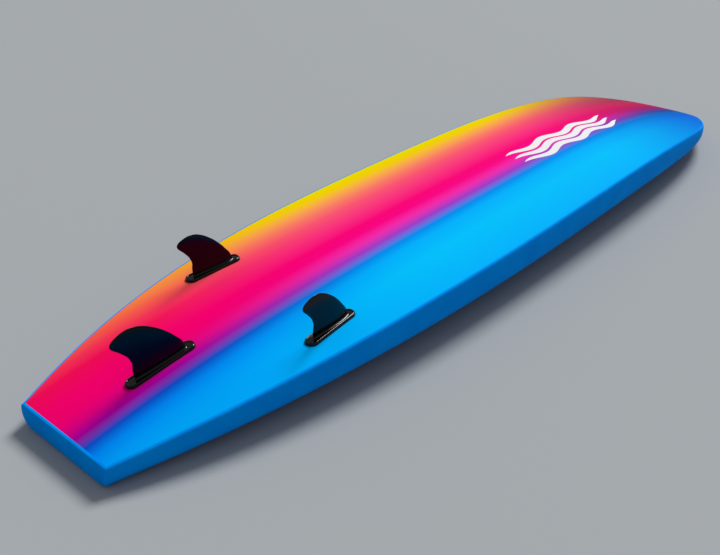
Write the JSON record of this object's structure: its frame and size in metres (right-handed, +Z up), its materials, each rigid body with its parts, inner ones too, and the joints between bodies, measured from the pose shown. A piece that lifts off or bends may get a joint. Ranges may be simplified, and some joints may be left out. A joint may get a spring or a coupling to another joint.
{
  "type": "soft-top directional board",
  "caption": "Soft-top directional board with a square tail, a rounded nose, a printed slick bottom and bolt-through fins.",
  "frame": {"origin": "on the floor below the middle of the board, which lies on its deck with its bottom up", "axes": "+X along the board to the nose, +Y across it, +Z up out of the printed bottom"},
  "size_m": [2.438, 0.5592, 0.2056],
  "materials": {
    "printed_slick": "printed polyethylene sheet, satin",
    "backing_foam": "closed-cell foam",
    "deck_foam": "closed-cell foam, fine grain",
    "rail_foam": "closed-cell foam, fine grain",
    "core_foam": "expanded bead foam",
    "stringer_wood": "plain sawn",
    "fin_plastic": "moulded nylon, polished",
    "gasket_rubber": "matt",
    "black_plastic": "moulded",
    "brass": "turned",
    "steel": "stainless, turned"
  },
  "bodies": {
    "board": {"bottom_slick": "printed_slick", "bottom_backing": "backing_foam", "deck_skin": "deck_foam", "tail_skin": "rail_foam", "rail_left": "rail_foam", "rail_right": "rail_foam", "core_left": "core_foam", "stringer_left": "stringer_wood", "core_centre": "core_foam", "stringer_right": "stringer_wood", "core_right": "core_foam", "leash_cup": "black_plastic", "leash_pin": "steel", "gasket_centre": "gasket_rubber", "sleeves_centre": "black_plastic", "deck_cups_centre": "black_plastic", "gasket_left": "gasket_rubber", "sleeves_left": "black_plastic", "deck_cups_left": "black_plastic", "gasket_right": "gasket_rubber", "sleeves_right": "black_plastic", "deck_cups_right": "black_plastic"},
    "fin_centre": {"fin_centre": "fin_plastic", "inserts_centre": "brass"},
    "washer_centre_rear": {"washer_centre_rear": "steel"},
    "screw_centre_rear": {"screw_centre_rear": "steel"},
    "washer_centre_front": {"washer_centre_front": "steel"},
    "screw_centre_front": {"screw_centre_front": "steel"},
    "fin_left": {"fin_left": "fin_plastic", "inserts_left": "brass"},
    "washer_left_rear": {"washer_left_rear": "steel"},
    "screw_left_rear": {"screw_left_rear": "steel"},
    "washer_left_front": {"washer_left_front": "steel"},
    "screw_left_front": {"screw_left_front": "steel"},
    "fin_right": {"fin_right": "fin_plastic", "inserts_right": "brass"},
    "washer_right_rear": {"washer_right_rear": "steel"},
    "screw_right_rear": {"screw_right_rear": "steel"},
    "washer_right_front": {"washer_right_front": "steel"},
    "screw_right_front": {"screw_right_front": "steel"}
  },
  "joints": [
    {"name": "fin_centre_lift", "type": "slide", "parent": "board", "child": "fin_centre", "axis": [-0.1303, 0, 0.9915], "range_m": [0, 0.06]},
    {"name": "screw_centre_rear_turn", "type": "hinge", "parent": "washer_centre_rear", "child": "screw_centre_rear", "pos_m": [-1.04425, 0, 0.02698], "axis": [0.1303, 0, -0.9915], "range_deg": [0, 3241]},
    {"name": "screw_centre_rear_travel", "type": "slide", "parent": "board", "child": "washer_centre_rear", "axis": [0.1303, 0, -0.9915], "range_m": [0, 0.009]},
    {"name": "screw_centre_front_turn", "type": "hinge", "parent": "washer_centre_front", "child": "screw_centre_front", "pos_m": [-0.94843, 0, 0.03462], "axis": [0.1303, 0, -0.9915], "range_deg": [0, 3241]},
    {"name": "screw_centre_front_travel", "type": "slide", "parent": "board", "child": "washer_centre_front", "axis": [0.1303, 0, -0.9915], "range_m": [0, 0.009]},
    {"name": "fin_left_lift", "type": "slide", "parent": "board", "child": "fin_left", "axis": [-0.0708, 0, 0.9975], "range_m": [0, 0.06]},
    {"name": "screw_left_rear_turn", "type": "hinge", "parent": "washer_left_rear", "child": "screw_left_rear", "pos_m": [-0.76841, 0.17486, 0.04353], "axis": [0.0708, 0, -0.9975], "range_deg": [0, 3241]},
    {"name": "screw_left_rear_travel", "type": "slide", "parent": "board", "child": "washer_left_rear", "axis": [0.0708, 0, -0.9975], "range_m": [0, 0.009]},
    {"name": "screw_left_front_turn", "type": "hinge", "parent": "washer_left_front", "child": "screw_left_front", "pos_m": [-0.68458, 0.16914, 0.04628], "axis": [0.0708, 0, -0.9975], "range_deg": [0, 3241]},
    {"name": "screw_left_front_travel", "type": "slide", "parent": "board", "child": "washer_left_front", "axis": [0.0708, 0, -0.9975], "range_m": [0, 0.009]},
    {"name": "fin_right_lift", "type": "slide", "parent": "board", "child": "fin_right", "axis": [-0.0708, 0, 0.9975], "range_m": [0, 0.06]},
    {"name": "screw_right_rear_turn", "type": "hinge", "parent": "washer_right_rear", "child": "screw_right_rear", "pos_m": [-0.76841, -0.17486, 0.04353], "axis": [0.0708, 0, -0.9975], "range_deg": [0, 3241]},
    {"name": "screw_right_rear_travel", "type": "slide", "parent": "board", "child": "washer_right_rear", "axis": [0.0708, 0, -0.9975], "range_m": [0, 0.009]},
    {"name": "screw_right_front_turn", "type": "hinge", "parent": "washer_right_front", "child": "screw_right_front", "pos_m": [-0.68458, -0.16914, 0.04628], "axis": [0.0708, 0, -0.9975], "range_deg": [0, 3241]},
    {"name": "screw_right_front_travel", "type": "slide", "parent": "board", "child": "washer_right_front", "axis": [0.0708, 0, -0.9975], "range_m": [0, 0.009]}
  ],
  "couplings": [
    {"joint": "screw_centre_rear_turn", "follows": "screw_centre_rear_travel", "rad_per_m": 6283.2},
    {"joint": "screw_centre_front_turn", "follows": "screw_centre_front_travel", "rad_per_m": 6283.2},
    {"joint": "screw_left_rear_turn", "follows": "screw_left_rear_travel", "rad_per_m": 6283.2},
    {"joint": "screw_left_front_turn", "follows": "screw_left_front_travel", "rad_per_m": 6283.2},
    {"joint": "screw_right_rear_turn", "follows": "screw_right_rear_travel", "rad_per_m": 6283.2},
    {"joint": "screw_right_front_turn", "follows": "screw_right_front_travel", "rad_per_m": 6283.2}
  ]
}
